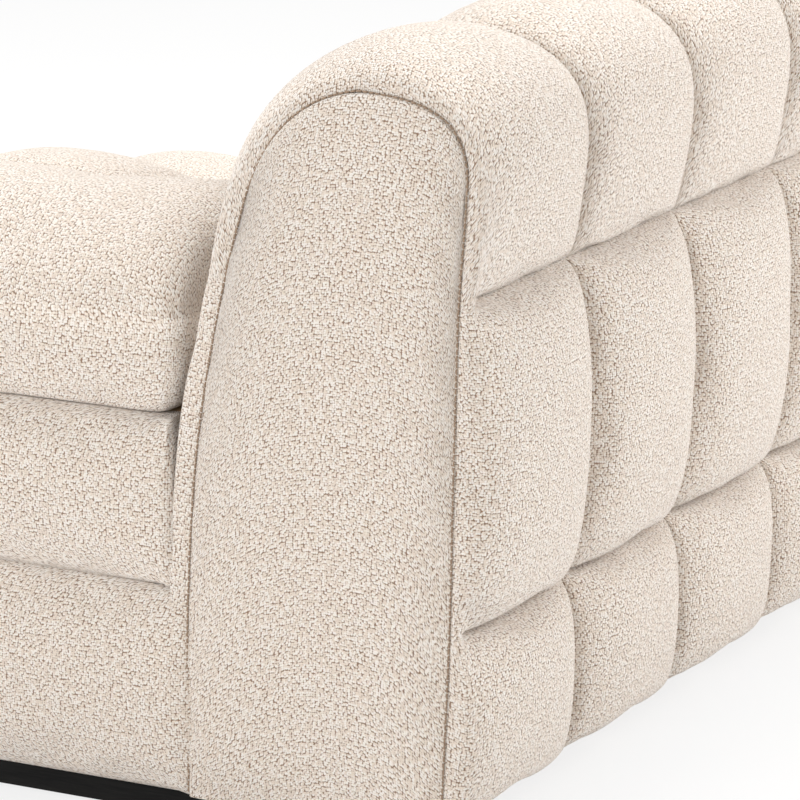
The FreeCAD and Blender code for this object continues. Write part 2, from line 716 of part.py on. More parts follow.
seat_left, seat_right = at("seat_left_x"), at("seat_right_x")
seat_columns = int(at("back_columns")) - int(at("arm_columns"))
seat_step = (seat_right - seat_left) / seat_columns
SEAM_FULLNESS = 0.15
END_EDGE = 0.4
SEAM_EDGE = 0.85
seat_solids = []
for column in range(seat_columns):
    start = seat_left + seat_step * column
    start_edge = END_EDGE if column == 0 else SEAM_EDGE
    end_edge = END_EDGE if column == seat_columns - 1 else SEAM_EDGE
    wires = [seat_section(start, SEAM_FULLNESS, start_edge), seat_section(start + seat_step / 2, 1.0, 1.0),
             seat_section(start + seat_step, SEAM_FULLNESS, end_edge)]
    seat_solids.append(loft(wires))
seat_core_low = (seat_left + core_wall, front_y + core_wall, at("seat_z") + core_wall / 2)
seat_core_high = (seat_right - core_wall, at("seat_rear_y") - core_wall,
                  seat_core_low[2] + at("seat_core_height"))
node(formed("seat_cushion", joined(seat_solids).cut(core_box(seat_core_low, seat_core_high, 0))))
node(formed("seat_foam_core", core_box(seat_core_low, seat_core_high, clearance)))

doc.recompute()
for item in doc.Objects:
    if "Invalid" in item.State or "Error" in item.State:
        raise RuntimeError(f"{item.Name} did not build: {item.State}")
for piece in NODES:
    if piece.Shape.isNull() or not piece.Shape.isValid():
        raise RuntimeError(f"{piece.Name} has no sound shape")
for piece in NODES:
    piece.Shape.exportStep(f"parts/{piece.Label}.step")
    print(piece.Label, len(piece.Shape.Solids), round(piece.Shape.Volume / 1000))
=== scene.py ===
# Plinth: four black-painted boards set back under the sofa, so that it seems to float.
# The boards are glued at the corners, stand on nylon glides and are screwed up into the base rails.
import math
import bmesh
import bpy
import numpy as np
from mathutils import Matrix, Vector, noise


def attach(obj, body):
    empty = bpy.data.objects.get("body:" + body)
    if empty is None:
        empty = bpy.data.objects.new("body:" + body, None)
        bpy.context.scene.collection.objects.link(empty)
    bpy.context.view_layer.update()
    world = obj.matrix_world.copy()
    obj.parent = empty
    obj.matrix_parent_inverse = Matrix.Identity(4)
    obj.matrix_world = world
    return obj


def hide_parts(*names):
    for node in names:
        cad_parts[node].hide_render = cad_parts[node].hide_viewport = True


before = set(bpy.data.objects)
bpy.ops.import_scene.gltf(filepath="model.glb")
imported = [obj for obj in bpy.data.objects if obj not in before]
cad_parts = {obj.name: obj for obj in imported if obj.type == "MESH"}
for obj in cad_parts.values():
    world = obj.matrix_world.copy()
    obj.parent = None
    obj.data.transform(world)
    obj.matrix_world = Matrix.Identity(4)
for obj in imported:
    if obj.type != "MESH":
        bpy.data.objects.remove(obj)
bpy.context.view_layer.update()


class Tone:
    """One output in a finish's node tree. Sums and products of tones add their Math nodes."""

    def __init__(self, tree, socket):
        self.tree = tree
        self.socket = socket

    def node(self, kind, settings, sockets, output=0):
        """Any other node: its settings are set first, then each socket gets a value or a link."""
        made = self.tree.nodes.new(kind)
        for name, value in settings.items():
            setattr(made, name, value)
        for key, value in sockets.items():
            if isinstance(value, Tone):
                self.tree.links.new(value.socket, made.inputs[key])
            else:
                made.inputs[key].default_value = value
        return Tone(self.tree, made.outputs[output])

    def feed(self, shader, name):
        self.tree.links.new(self.socket, shader.inputs[name])

    def maths(self, operation, first, second):
        return self.node("ShaderNodeMath", {"operation": operation}, {0: first, 1: second})

    def __add__(self, other):
        return self.maths("ADD", self, other)

    def __sub__(self, other):
        return self.maths("SUBTRACT", self, other)

    def __rsub__(self, other):
        return self.maths("SUBTRACT", other, self)

    def __mul__(self, other):
        return self.maths("MULTIPLY", self, other)

    __radd__ = __add__
    __rmul__ = __mul__

    def noise(self, scale, detail=2.0, rough=0.5):
        return self.node("ShaderNodeTexNoise", {}, {"Vector": self, "Scale": scale, "Detail": detail,
                                                    "Roughness": rough})

    def stretched(self, scale):
        return self.node("ShaderNodeMapping", {}, {"Vector": self, "Scale": scale})

    def step(self, low, high):
        """0 below low, 1 above high, eased between."""
        return self.node("ShaderNodeMapRange", {"interpolation_type": "SMOOTHSTEP"},
                         {"Value": self, "From Min": low, "From Max": high})

    def blend(self, first, second):
        """First colour where the tone is 0, second where it is 1."""
        return self.node("ShaderNodeMix", {"data_type": "RGBA"}, {0: self, 6: first, 7: second}, 2)

    def relief(self, strength, distance):
        return self.node("ShaderNodeBump", {}, {"Strength": strength, "Distance": distance, "Height": self})


def new_finish(name):
    """An empty finish: its material, its shader and the place on the piece in metres."""
    material = bpy.data.materials.new(name)
    material.use_nodes = True
    tree = material.node_tree
    place = tree.nodes.new("ShaderNodeTexCoord")
    return material, tree.nodes["Principled BSDF"], Tone(tree, place.outputs["Object"])


GRAIN_ALONG = 9.0
GRAIN_ACROSS = 150.0
PORES_PER_GRAIN = 4.0


def wood(name, along, dark, pale, rough, relief):
    """Sawn and sanded wood, bare or painted, with its grain along one axis."""
    material, shader, place = new_finish(name)
    lines = [GRAIN_ALONG if axis == along else GRAIN_ACROSS for axis in "xyz"]
    grain = place.stretched(lines).noise(1.0, 6.0, 0.65)
    pores = place.stretched([PORES_PER_GRAIN * value for value in lines]).noise(1.0, 3.0, 0.6)
    figure = (grain * 0.7 + pores * 0.3).step(0.3, 0.7)
    figure.blend((*dark, 1.0), (*pale, 1.0)).feed(shader, "Base Color")
    (rough + (0.5 - figure) * 0.12).feed(shader, "Roughness")
    shader.inputs["Specular IOR Level"].default_value = 0.12
    (grain * 0.5 + pores * 0.5).relief(relief, 0.0006).feed(shader, "Normal")
    return material


def dress(material, *names):
    """Gives CAD nodes a finish."""
    for name in names:
        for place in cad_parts[name].material_slots:
            place.material = material


PAINT_DARK = (0.002, 0.002, 0.002)
PAINT_PALE = (0.008, 0.0075, 0.007)
dress(wood("black_paint_x", "x", PAINT_DARK, PAINT_PALE, 0.5, 0.35), "plinth_front", "plinth_rear")
dress(wood("black_paint_y", "y", PAINT_DARK, PAINT_PALE, 0.5, 0.35), "plinth_left", "plinth_right")

glide_nylon, glide_shader, glide_place = new_finish("glide_nylon")
glide_wear = glide_place.noise(420.0, 4.0)
glide_wear.blend((0.05, 0.05, 0.052, 1.0), (0.11, 0.11, 0.11, 1.0)).feed(glide_shader, "Base Color")
(glide_wear * 0.3 + 0.35).feed(glide_shader, "Roughness")
glide_wear.relief(0.2, 0.0003).feed(glide_shader, "Normal")
dress(glide_nylon, "floor_glides")

# Carcass: beech rails glued and blocked at the corners, with plywood boards for the arm and the back.
# It is never seen on a finished sofa, apart from the edges under the dust cover.
BEECH_DARK = (0.42, 0.26, 0.14)
BEECH_PALE = (0.62, 0.43, 0.26)
PLY_DARK = (0.46, 0.31, 0.17)
PLY_PALE = (0.68, 0.52, 0.34)
dress(wood("beech_x", "x", BEECH_DARK, BEECH_PALE, 0.62, 0.3), "base_rail_front", "base_rail_rear",
      "back_rail_front_low", "back_rail_rear_low", "back_rail_rear_high", "back_rail_front_high",
      "back_rail_top")
dress(wood("beech_y", "y", BEECH_DARK, BEECH_PALE, 0.62, 0.3), "base_rail_left", "base_rail_right",
      "base_rail_arm", "base_bearer_left", "base_corner_blocks")
dress(wood("plywood", "y", PLY_DARK, PLY_PALE, 0.7, 0.4), "arm_board_outer", "arm_board_inner",
      "arm_board_front", "arm_board_rear", "arm_top_board", "back_bottom_board", "back_former_right",
      "back_former_left", "back_former_centre")


# Springs, bolts and link plates: zigzag spring wire clipped to the rails, zinc-plated bolts,
# and two pressed steel plates under the joining end that swing out to the next module.
def steel(name, dull, bright, rough):
    """Bare or plated steel with a faint mottle."""
    material, shader, place = new_finish(name)
    mottle = place.noise(160.0, 5.0, 0.6)
    mottle.blend((*dull, 1.0), (*bright, 1.0)).feed(shader, "Base Color")
    shader.inputs["Metallic"].default_value = 1.0
    (mottle * 0.25 + rough).feed(shader, "Roughness")
    place.noise(900.0, 2.0).relief(0.08, 0.0002).feed(shader, "Normal")
    return material


dress(steel("spring_steel", (0.20, 0.19, 0.18), (0.36, 0.35, 0.33), 0.32), "seat_springs", "spring_clips")
dress(steel("zinc_plate", (0.55, 0.56, 0.57), (0.72, 0.73, 0.73), 0.25), "back_bolts", "link_bolts",
      "link_plate_front", "link_plate_rear")


# Hidden cloth and foam: black dust cover under the base, a felt pad over the springs,
# elastic webbing across the back, and the cut foam blocks inside the loose fillings.
def fibres(name, dark, pale, scale, relief):
    """Matted or cut open-cell stuff: felt, lining and foam."""
    material, shader, place = new_finish(name)
    mat = place.noise(scale, 6.0, 0.7)
    clumps = place.noise(scale / 12.0, 2.0)
    (mat * 0.75 + clumps * 0.25).step(0.3, 0.7).blend((*dark, 1.0), (*pale, 1.0)).feed(shader, "Base Color")
    shader.inputs["Roughness"].default_value = 0.95
    mat.relief(relief, 0.001).feed(shader, "Normal")
    return material


dress(fibres("dust_lining", (0.012, 0.012, 0.013), (0.035, 0.035, 0.036), 900.0, 0.3), "dust_cover")
dress(fibres("deck_felt", (0.34, 0.30, 0.26), (0.50, 0.46, 0.41), 700.0, 0.5), "deck_pad")
dress(fibres("cut_foam", (0.68, 0.60, 0.42), (0.84, 0.78, 0.60), 1200.0, 0.4),
      "arm_foam_core", "seat_foam_core")

elastic, elastic_shader, elastic_place = new_finish("elastic_webbing")
elastic_warp, elastic_weft = [
    elastic_place.node("ShaderNodeTexWave", {"bands_direction": way},
                       {"Vector": elastic_place, "Scale": scale, "Distortion": 1.5, "Detail": 2.0}, 1)
    for way, scale in (("X", 130.0), ("Z", 90.0))]
elastic_yarn = elastic_warp * 0.5 + elastic_weft * 0.5
elastic_yarn.blend((0.12, 0.105, 0.09, 1.0), (0.30, 0.275, 0.25, 1.0)).feed(elastic_shader, "Base Color")
elastic_shader.inputs["Roughness"].default_value = 0.9
elastic_yarn.relief(0.6, 0.001).feed(elastic_shader, "Normal")
dress(elastic, "back_webbing")

# Base cover: one padded band of cream boucle round the left side, the front and the right side.
# It is stapled under the rails, swells over its wadding and is sewn along its top edge.
# Both ends dive behind the end panels of the back.
# The darkest yarn colour is painted shade in the gaps between the nubs, and the palest is a painted highlight
# on the nub crowns.
YARN_GAP_PAINTED_SHADE = (0.27, 0.172, 0.105)
YARN_BODY = (0.79, 0.685, 0.590)
YARN_NUB_PAINTED_HIGHLIGHT = (0.90, 0.850, 0.795)
WARP_MM = 2.3
WEFT_MM = 2.1
YARN_DRIFT = 0.9


def boucle(name):
    """Plain-weave boucle laid on the cover's own cloth map: looped nubs and slubs, with painted shade in the
    gaps between the nubs and a painted highlight on the nub crowns.
    """
    material, shader, place = new_finish(name)
    cut = place.node("ShaderNodeUVMap", {"uv_map": "cloth"}, {})
    threads = cut.stretched((1000.0 / WARP_MM, 1000.0 / WEFT_MM, 1.0))
    drift = cut.node("ShaderNodeTexNoise", {"noise_dimensions": "2D"},
                     {"Vector": cut, "Scale": 110.0, "Detail": 2.0}, 1)
    drift = drift.node("ShaderNodeVectorMath", {"operation": "MULTIPLY_ADD"},
                       {0: drift, 1: (YARN_DRIFT, YARN_DRIFT, 0.0),
                        2: (-YARN_DRIFT / 2, -YARN_DRIFT / 2, 0.0)})
    yarn = threads.node("ShaderNodeVectorMath", {"operation": "ADD"}, {0: threads, 1: drift})
    cells = {"Vector": yarn, "Scale": 1.0, "Randomness": 0.68}
    gap = yarn.node("ShaderNodeTexVoronoi", {"voronoi_dimensions": "2D"}, cells)
    lot = yarn.node("ShaderNodeTexVoronoi", {"voronoi_dimensions": "2D"}, cells, 1)
    nub = 1.0 - gap.step(0.30, 0.72)
    loop = lot.step(0.25, 0.8)
    slub = cut.stretched((260.0, 170.0, 1.0)).noise(1.0, 2.0, 0.6).step(0.46, 0.66)
    fibre = cut.noise(1500.0, 3.0, 0.7)
    body = nub * (0.66 + 0.34 * loop) + slub * 0.2 + (fibre - 0.5) * 0.5
    # Painted shade: the low parts between the nubs are coloured dark brown.
    painted_gap_shade = body.step(0.0, 0.58).blend((*YARN_GAP_PAINTED_SHADE, 1.0), (*YARN_BODY, 1.0))
    # Painted highlight: the crowns of the nubs, the tops of the relief, are coloured paler. The amount varies
    # at random from loop to loop.
    crown = (body - 0.1) * (0.55 + 0.45 * loop)
    crown.step(0.35, 0.85).blend(painted_gap_shade, (*YARN_NUB_PAINTED_HIGHLIGHT, 1.0)).feed(shader, "Base Color")
    shader.inputs["Roughness"].default_value = 0.95
    shader.inputs["Specular IOR Level"].default_value = 0.15
    shader.inputs["Sheen Weight"].default_value = 0.55
    shader.inputs["Sheen Roughness"].default_value = 0.5
    (body + slub * 0.2).relief(0.75, 0.0016).feed(shader, "Normal")
    return material


cream_boucle = boucle("cream_boucle")


def eased(count, pinch=0.6):
    """Stations from 0 to 1, closer together at both ends where a seam draws the cloth in."""
    return [i / count - pinch * math.sin(2 * math.pi * i / count) / (2 * math.pi) for i in range(count + 1)]


def full(share, power=2.2, top=0.62):
    """Height of a stuffed chamber from one seam, 0, to the next, 1."""
    return max(0.0, 1.0 - abs(2.0 * share - 1.0) ** power) ** top


def smooth(low, high, value):
    """0 below low, 1 above high, eased between."""
    share = min(1.0, max(0.0, (value - low) / (high - low)))
    return share * share * (3.0 - 2.0 * share)


def uneven(spot, size, wave):
    """Hand-stuffed unevenness: a slow wave of that size in metres."""
    return size * noise.noise(Vector(spot) / wave)


def cloth_map(spots, axis, stops):
    """The cut's own measure along one axis of a grid of points: lengths on the cloth,
    counted from the middle of each chamber between two stops."""
    steps = np.linalg.norm(np.diff(spots, axis=axis), axis=2)
    run = np.concatenate([np.zeros_like(steps.take([0], axis=axis)), np.cumsum(steps, axis=axis)], axis=axis)
    chambers = []
    for low, high in zip(stops, stops[1:]):
        middle = (run.take(low, axis=axis) + run.take(high, axis=axis)) / 2
        chambers.append(run - np.expand_dims(middle, axis) + middle.mean())
    return chambers


def grid_cover(name, columns, rows, place, sewn, stops, inside):
    """A cover cut as one grid. Place puts each crossing, sewn says which are stitched down,
    stops are the columns and rows between chambers, and inside is a point behind the cover."""
    work = bmesh.new()
    bmesh.ops.create_grid(work, x_segments=columns, y_segments=rows, size=1.0)
    threads = work.loops.layers.uv.new("cloth")
    crease = work.edges.layers.float.new("crease_edge")
    stitched = work.verts.layers.int.new("stitched")
    spots = {}
    for vertex in work.verts:
        i = round((vertex.co.x + 1.0) / 2.0 * columns)
        j = round((vertex.co.y + 1.0) / 2.0 * rows)
        spots[vertex] = (i, j)
    grid = np.array([[place(i, j) for j in range(rows + 1)] for i in range(columns + 1)])
    maps = [cloth_map(grid, axis, stops[axis]) for axis in range(2)]
    for face in work.faces:
        near = [min(spots[vertex][axis] for vertex in face.verts) for axis in range(2)]
        chamber_map = [maps[axis][sum(stop <= near[axis] for stop in stops[axis][1:-1])] for axis in range(2)]
        for corner in face.loops:
            corner[threads].uv = [chamber_map[axis][spots[corner.vert]] for axis in range(2)]
    for vertex, (i, j) in spots.items():
        vertex[stitched] = int(sewn(i, j))
        vertex.co = grid[i, j]
    for edge in work.edges:
        if all(vertex[stitched] for vertex in edge.verts):
            edge[crease] = 0.85
    return sewn_up(name, work, inside)


def made_up(name, work, material):
    """Makes the worked shape a piece with its finish."""
    mesh = bpy.data.meshes.new(name)
    work.to_mesh(mesh)
    work.free()
    mesh.shade_smooth()
    mesh.materials.append(material)
    piece = bpy.data.objects.new(name, mesh)
    bpy.context.scene.collection.objects.link(piece)
    return piece


def sewn_up(name, work, inside):
    """Closes the cut, turns its face side away from the point inside and makes it a piece."""
    bmesh.ops.remove_doubles(work, verts=work.verts, dist=0.0002)
    work.normal_update()
    outward = sum(face.normal.dot(face.calc_center_median() - Vector(inside)) * face.calc_area()
                  for face in work.faces)
    if outward < 0:
        bmesh.ops.reverse_faces(work, faces=work.faces)
    return made_up(name, work, cream_boucle)


SWELL_STEPS = 20


def swell(piece, pressure, most, slack=0.01):
    """Cloth simulation: the filling presses the cover out between its stitched points,
    no point moves further than most, and slack is the share of spare cloth."""
    mesh = piece.data
    count = len(mesh.vertices)
    flags = np.zeros(count, np.int32)
    mesh.attributes["stitched"].data.foreach_get("value", flags)
    group = piece.vertex_groups.new(name="stitched")
    group.add([int(i) for i in np.flatnonzero(flags)], 1.0, "REPLACE")
    cloth = piece.modifiers.new("filling", "CLOTH")
    settings = cloth.settings
    settings.vertex_group_mass = group.name
    settings.quality = 6
    settings.mass = 0.3
    settings.tension_stiffness = 25.0
    settings.compression_stiffness = 25.0
    settings.shear_stiffness = 12.0
    settings.bending_stiffness = 1.5
    settings.shrink_min = -slack
    settings.use_pressure = True
    settings.uniform_pressure_force = pressure
    settings.effector_weights.gravity = 0.0
    cloth.collision_settings.use_collision = False
    rest = np.zeros(count * 3, np.float32)
    mesh.vertices.foreach_get("co", rest)
    scene = bpy.context.scene
    for step in range(1, SWELL_STEPS + 1):
        scene.frame_set(step)
    swollen = piece.evaluated_get(bpy.context.evaluated_depsgraph_get())
    moved = np.zeros(count * 3, np.float32)
    swollen.to_mesh().vertices.foreach_get("co", moved)
    swollen.to_mesh_clear()
    piece.modifiers.remove(cloth)
    piece.vertex_groups.remove(group)
    scene.frame_set(1)
    way = (moved - rest).reshape(-1, 3)
    reach = np.linalg.norm(way, axis=1, keepdims=True)
    way *= most * np.tanh(reach / most) / np.maximum(reach, 1e-9)
    mesh.vertices.foreach_set("co", (rest.reshape(-1, 3) + way).ravel())
    mesh.update()
    mesh.attributes.remove(mesh.attributes["stitched"])
    finer = piece.modifiers.new("finer", "SUBSURF")
    finer.levels = 1
    finer.render_levels = 1


def upholstered(piece, body, fill, *nodes):
    """Says what the piece rides on and which CAD pads it stands for, which it hides. Fill, how full it is, is
    not used.
    """
    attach(piece, body)
    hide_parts(*nodes)


HALF_WIDTH = 0.570
FRONT_Y = -0.50757
ARM_REAR_Y = 0.17643
BASE_REAR_Y = 0.1900
BASE_Z = 0.035
BASE_TOP_Z = 0.227
SEAM_DRAW = 0.018
BAND_TUCK = 0.024
BAND_STEP = 0.016
BASE_CORNER = 0.03
BASE_DIVE = (0.007, 0.009)
REAR_EASE = 0.9


def rounded_run(corners, radii, step):
    """A plan line through the corners, each but the first and last rounded, as evenly spaced points."""
    line = []
    for index, corner in enumerate(corners):
        here = Vector(corner)
        if index in (0, len(corners) - 1):
            line.append(here)
            continue
        radius = radii[index - 1]
        before = (Vector(corners[index - 1]) - here).normalized()
        after = (Vector(corners[index + 1]) - here).normalized()
        centre = here + (before + after) * radius
        for turn in range(9):
            angle = math.pi / 2 * turn / 8
            line.append(centre - after * radius * math.cos(angle) - before * radius * math.sin(angle))
    spaced = []
    for first, second in zip(line, line[1:]):
        pieces = max(1, round((second - first).length / step))
        spaced.extend(first.lerp(second, part / pieces) for part in range(pieces))
    spaced.append(line[-1])
    return spaced


def run_normals(line, closed):
    """Outward normal at each point of a plan line that goes round the object clockwise."""
    normals = []
    last = len(line) - 1
    for index in range(len(line)):
        before, after = line[max(index - 1, 0)], line[min(index + 1, last)]
        if closed and index in (0, last):
            before, after = line[-2], line[1]
        along = (after - before).normalized()
        normals.append(Vector((along.y, -along.x)))
    return normals


def band_profile(low_z, high_z, draw, tuck):
    """Levels up a padded band, each drawn in, tucked in and at a height: a tuck under,
    the swell between its seams, a tuck over."""
    levels = [(-draw, -tuck, low_z + 0.001), (-draw, -tuck / 2, low_z)]
    levels.extend((draw * (full(share, 3.0, 0.36) - 1.0), 0.0, low_z + (high_z - low_z) * share)
                  for share in eased(16, 0.7))
    levels.extend([(-draw, -tuck / 2, high_z), (-draw, -tuck, high_z - 0.001)])
    return levels


def padded_band(name, line, closed, low_z, high_z, inside):
    """A band of cover round a plan line, stitched along its lower and upper edges.
    Where it faces the rear, against the back, its seams are hardly drawn in."""
    normals = run_normals(line, closed)
    profile = band_profile(low_z, high_z, SEAM_DRAW, BAND_TUCK)
    last = len(line) - 1

    def place(i, j):
        drawn, tucked, z = profile[j]
        out = drawn * (1.0 - REAR_EASE * max(0.0, normals[i].y)) + tucked
        loose = 1.0 if 3 < j < len(profile) - 4 else 0.0
        spot = line[i] + normals[i] * (out + loose * uneven((*line[i], z), 0.0016, 0.11))
        return Vector((spot.x, spot.y, z))

    def sewn(i, j):
        ends = not closed and i in (0, last)
        return ends or j <= 2 or j >= len(profile) - 3

    return grid_cover(name, last, len(profile) - 1, place, sewn, ((0, last), (0, len(profile) - 1)), inside)


base_line = rounded_run([(-HALF_WIDTH, BASE_REAR_Y), (-HALF_WIDTH, FRONT_Y), (HALF_WIDTH, FRONT_Y),
                         (HALF_WIDTH, BASE_REAR_Y)], (BASE_CORNER, BASE_CORNER), BAND_STEP)
base_line.insert(0, Vector((BASE_DIVE[0] - HALF_WIDTH, BASE_REAR_Y + BASE_DIVE[1])))
base_line.append(Vector((HALF_WIDTH - BASE_DIVE[0], BASE_REAR_Y + BASE_DIVE[1])))
base_cover = padded_band("base_cover", base_line, False, BASE_Z, BASE_TOP_Z, (0.0, -0.1, 0.13))
swell(base_cover, 2.0, 0.008)
upholstered(base_cover, "frame", 0.6, "base_pad_front", "base_pad_right", "base_pad_left")

# Arm cover: the padded band round all four sides of the arm box, between the base and the arm cushion.
# Its ends are sewn together on the inner side, behind the seat cushion, and its edges are stapled.
ARM_INNER_X = 0.114
ARM_SEAM_Z = 0.383
ARM_JOIN_Y = ARM_REAR_Y - 0.3
ARM_LAP_Y = ARM_REAR_Y + 0.002
ARM_CORNERS = (0.034, 0.034, 0.012, 0.012)
arm_corners = [(ARM_INNER_X, ARM_JOIN_Y), (ARM_INNER_X, FRONT_Y), (HALF_WIDTH, FRONT_Y),
               (HALF_WIDTH, ARM_LAP_Y), (ARM_INNER_X, ARM_LAP_Y), (ARM_INNER_X, ARM_JOIN_Y)]
arm_line = rounded_run(arm_corners, ARM_CORNERS, BAND_STEP)
arm_cover = padded_band("arm_cover", arm_line, True, BASE_TOP_Z, ARM_SEAM_Z, (0.342, -0.16, 0.3))
swell(arm_cover, 2.0, 0.008)
upholstered(arm_cover, "frame", 0.6, "arm_outer_pad", "arm_inner_pad", "arm_front_pad")

# Arm cushion: a boxed cushion of foam in a fibre wrap, fixed on the arm box.
# Its outer half is smooth, and its inner half is drawn down by a tuft line and two cross tufts.
ARM_BOXING = 0.088
ARM_CROWN = 0.084
ARM_INNER_DROP = 0.010
ARM_LINE_DEPTH = 0.022
ARM_CROSS_DEPTH = 0.050
ARM_TUFT_X = 0.342
ARM_TUFT_YS = (0.0104, -0.2176)
ARM_CROSS_REACH = 0.1
ARM_CROSS_END = 0.03
ARM_LINE_REACH_OUTER = 0.05
ARM_LINE_REACH_INNER = 0.07
ARM_LINE_FADE = 0.022
ARM_SHOULDER_OUTER = 0.17
ARM_SHOULDER_INNER = 0.20
ARM_SHOULDER_FRONT = 0.12
ARM_SHOULDER_REAR = 0.07
ARM_RIM_DRAW = 0.004
ARM_SHIFT = 0.004
ARM_LEAN = 0.13
CLEARANCE = 0.0005
PLAN_CORNER = 0.05
REAR_CORNER = 0.018
CUSHION_STEP = 0.0125
SAME_CUT = 1e-5


def drop(distance, reach):
    """How far a stitched line draws the cover down: 1 on the line, 0 at its reach."""
    share = min(1.0, abs(distance) / reach)
    return 1.0 - math.sqrt(max(0.0, 1.0 - (1.0 - share) ** 2))


def shoulder(distance, reach):
    """Rise of a stuffed edge: 0 at the seam, 1 at its reach."""
    share = min(1.0, max(0.0, distance / reach))
    return (1.0 - (1.0 - share) ** 2.2) ** 0.55


def stations(stops, step):
    """Cuts between the stops, closer together near each stop."""
    cuts = [stops[0]]
    for first, second in zip(stops, stops[1:]):
        count = max(6, round((second - first) / step))
        cuts.extend(first + (second - first) * share for share in eased(count)[1:])
    return cuts


def round_corner(x, y, low, high, radius):
    """Turns square corners of a plan into round ones."""
    near_x = x - min(max(x, low[0] + radius), high[0] - radius)
    near_y = y - min(max(y, low[1] + radius), high[1] - radius)
    if near_x and near_y:
        share = max(abs(near_x), abs(near_y)) / math.hypot(near_x, near_y)
        x -= near_x * (1.0 - share)
        y -= near_y * (1.0 - share)
    return x, y


def drawn_plan(x, y, low, high, radius, draw):
    """A plan point with its corner rounded, drawn in towards the middle by the seam."""
    drawn = []
    for value, least, most in zip(round_corner(x, y, low, high, radius), low, high):
        middle = (least + most) / 2
        drawn.append(middle + (value - middle) * (1.0 - draw / ((most - least) / 2)))
    return drawn


def on_top(z, height):
    """Whether a point of the uncut block lies on its upper face."""
    return z > height * 0.99


def boxed_cushion(name, xs, ys, height, place, sewn, inside):
    """A closed cushion from a block cut along every station, then drawn to its stuffed form."""
    work = bmesh.new()
    bmesh.ops.create_cube(work, size=1.0)
    bmesh.ops.translate(work, verts=work.verts, vec=(0.5, 0.5, 0.5))
    size = Vector((xs[-1] - xs[0], ys[-1] - ys[0], height))
    bmesh.ops.scale(work, verts=work.verts, vec=size)
    bmesh.ops.translate(work, verts=work.verts, vec=(xs[0], ys[0], 0.0))
    sides = [height * share for share in eased(10, 0.4)]
    for axis, cuts in enumerate((xs, ys, sides)):
        normal = Vector([1.0 if axis == other else 0.0 for other in range(3)])
        for cut in cuts[1:-1]:
            bmesh.ops.bisect_plane(work, geom=work.verts[:] + work.edges[:] + work.faces[:],
                                   plane_co=normal * cut, plane_no=normal, dist=1e-6)
    threads = work.loops.layers.uv.new("cloth")
    crease = work.edges.layers.float.new("crease_edge")
    stitched = work.verts.layers.int.new("stitched")
    work.normal_update()
    top = np.array([[place(x, y, height) for y in ys] for x in xs])
    top_u = cloth_map(top, 0, (0, len(xs) - 1))[0]
    top_v = cloth_map(top, 1, (0, len(ys) - 1))[0]
    for face in work.faces:
        level = abs(face.normal.z) > 0.5
        facing = abs(face.normal.y) > 0.5
        for corner in face.loops:
            x, y, z = corner.vert.co
            if face.normal.z > 0.5:
                spot = (int(np.abs(np.array(xs) - x).argmin()), int(np.abs(np.array(ys) - y).argmin()))
                corner[threads].uv = (top_u[spot], top_v[spot])
            else:
                corner[threads].uv = (x, y) if level else (x, z) if facing else (y, z)
    for vertex in work.verts:
        vertex[stitched] = int(sewn(*vertex.co))
    for edge in work.edges:
        if all(vertex[stitched] for vertex in edge.verts) and on_top(edge.verts[0].co.z, height):
            edge[crease] = 0.85
    for vertex in work.verts:
        vertex.co = place(*vertex.co)
    return sewn_up(name, work, inside)


arm_low = (ARM_INNER_X + ARM_SHIFT, FRONT_Y)
arm_high = (HALF_WIDTH, ARM_REAR_Y + ARM_SHIFT)
arm_xs = stations([arm_low[0], ARM_TUFT_X, arm_high[0]], CUSHION_STEP)
arm_ys = stations([arm_low[1], ARM_TUFT_YS[1], ARM_TUFT_YS[0], arm_high[1]], CUSHION_STEP)


def arm_crown(x, y):
    """Height of the arm cushion's top above its boxing seam."""
    outer = shoulder(arm_high[0] - x, ARM_SHOULDER_OUTER)
    inner = shoulder(x - arm_low[0], ARM_SHOULDER_INNER)
    ends = shoulder(y - arm_low[1], ARM_SHOULDER_FRONT) * shoulder(arm_high[1] - y, ARM_SHOULDER_REAR)
    low_half = 1.0 - smooth(0.28, 0.40, x)
    top = ARM_CROWN - ARM_INNER_DROP * low_half * (1.0 + smooth(-0.02, 0.04, y))
    line = 1.0 - smooth(ARM_TUFT_YS[0], ARM_TUFT_YS[0] + ARM_LINE_FADE, y)
    reach = ARM_LINE_REACH_OUTER if x > ARM_TUFT_X else ARM_LINE_REACH_INNER
    draw = ARM_LINE_DEPTH * line * drop(x - ARM_TUFT_X, reach)
    beside = min(1.0, max(0.0, (ARM_TUFT_X + ARM_CROSS_END - x) / ARM_CROSS_END))
    for tuft in ARM_TUFT_YS:
        draw = max(draw, ARM_CROSS_DEPTH * beside * drop(y - tuft, ARM_CROSS_REACH))
    return top * outer * inner * ends - draw * min(outer, inner, ends)


def arm_place(x, y, z):
    """A point of the block in the stuffed cushion, which leans back against the end panel at the rear."""
    draw = SEAM_DRAW * (1.0 - full(min(z / ARM_BOXING, 0.96), 2.2, 0.42))
    if on_top(z, ARM_BOXING):
        draw += ARM_RIM_DRAW
    corner = PLAN_CORNER if y < 0 else REAR_CORNER
    spot = Vector((*drawn_plan(x, y, arm_low, arm_high, corner, draw), ARM_SEAM_Z + CLEARANCE + z))
    if on_top(z, ARM_BOXING):
        spot.z += arm_crown(x, y) + uneven((x, y, 0.5), 0.002, 0.1)
    spot.y += ARM_LEAN * (spot.z - ARM_SEAM_Z) * smooth(0.0, arm_high[1], y)
    return spot


